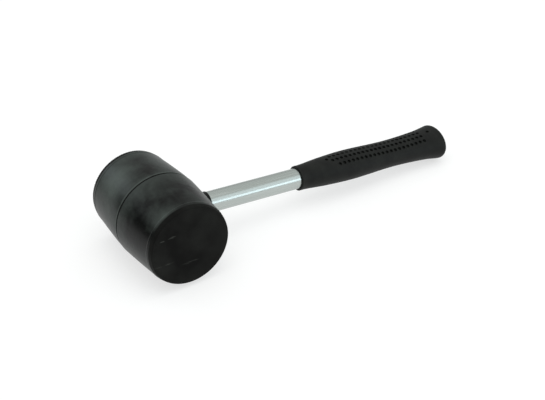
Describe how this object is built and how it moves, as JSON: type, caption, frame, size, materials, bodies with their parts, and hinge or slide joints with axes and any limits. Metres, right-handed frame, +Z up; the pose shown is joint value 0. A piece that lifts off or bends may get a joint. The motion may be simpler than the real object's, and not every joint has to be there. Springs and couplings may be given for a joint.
{
  "type": "rubber mallet",
  "caption": "Rubber mallet with a barrel-shaped black head, a bare steel tube handle and a dimpled black rubber grip, lying on its side.",
  "frame": {"origin": "on the plane that the mallet lies on, below the middle of its overall box", "axes": "+Z up, away from the plane; +X level, from the head to the butt of the grip; +Y level, along the head, through one striking face"},
  "size_m": [0.2865, 0.0912, 0.068],
  "materials": {
    "head_rubber": "moulded, dull, slightly cloudy",
    "grip_rubber": "moulded, matt",
    "tube_steel": "bright zinc plate, satin",
    "plug_plastic": "moulded"
  },
  "bodies": {
    "root": {"mallet_head": "head_rubber", "head_end_plug": "plug_plastic", "handle_tube": "tube_steel", "butt_end_plug": "plug_plastic", "grip_sleeve": "grip_rubber"}
  },
  "joints": []
}
